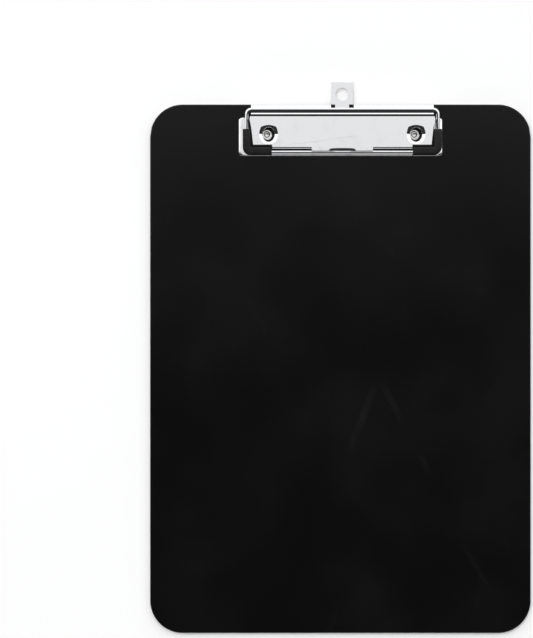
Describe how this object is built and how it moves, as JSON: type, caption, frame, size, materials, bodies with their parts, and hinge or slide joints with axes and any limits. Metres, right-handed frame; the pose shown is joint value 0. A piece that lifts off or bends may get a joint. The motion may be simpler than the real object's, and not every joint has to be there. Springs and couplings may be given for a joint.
{
  "type": "clipboard",
  "caption": "Letter-size clipboard: flat plastic board with a low sprung metal clip, wire bail with rubber corner grips, and a sliding hanging tab.",
  "frame": {"origin": "centre of the board's flat back face", "axes": "+X to the reader's right, +Y along the board towards the clip and hanging tab, +Z out of the board's front face"},
  "size_m": [0.2286, 0.3307, 0.0104],
  "materials": {
    "board_plastic": "black, smooth, satin to semi-gloss",
    "chrome_plate": "bright chromed sheet steel",
    "chrome_wire": "bright chromed round wire",
    "grip_rubber": "black moulded rubber, matt",
    "spring_steel": "drawn spring wire",
    "nickel_steel": "nickel-plated steel, lightly worn"
  },
  "bodies": {
    "base": {"board": "board_plastic", "base_plate": "chrome_plate", "rivet_left": "nickel_steel", "rivet_right": "nickel_steel", "rivet_washer_left": "nickel_steel", "rivet_washer_right": "nickel_steel", "torsion_spring_left": "spring_steel", "torsion_spring_right": "spring_steel"},
    "jaw": {"lever_plate": "chrome_plate", "wire_bail": "chrome_wire", "corner_grip_left": "grip_rubber", "corner_grip_right": "grip_rubber"},
    "hanger": {"hanging_tab": "chrome_plate"}
  },
  "joints": [
    {"name": "clip_hinge", "type": "hinge", "parent": "base", "child": "jaw", "pos_m": [0, 0.15525, 0.007], "axis": [-1, 0, 0], "range_deg": [0, 65], "stiffness_Nm_per_rad": 0.02, "springref_deg": -57.3, "deforming": ["torsion_spring_left", "torsion_spring_right"]},
    {"name": "hanger_slide", "type": "slide", "parent": "base", "child": "hanger", "axis": [0, -1, 0], "range_m": [0, 0.011]}
  ]
}
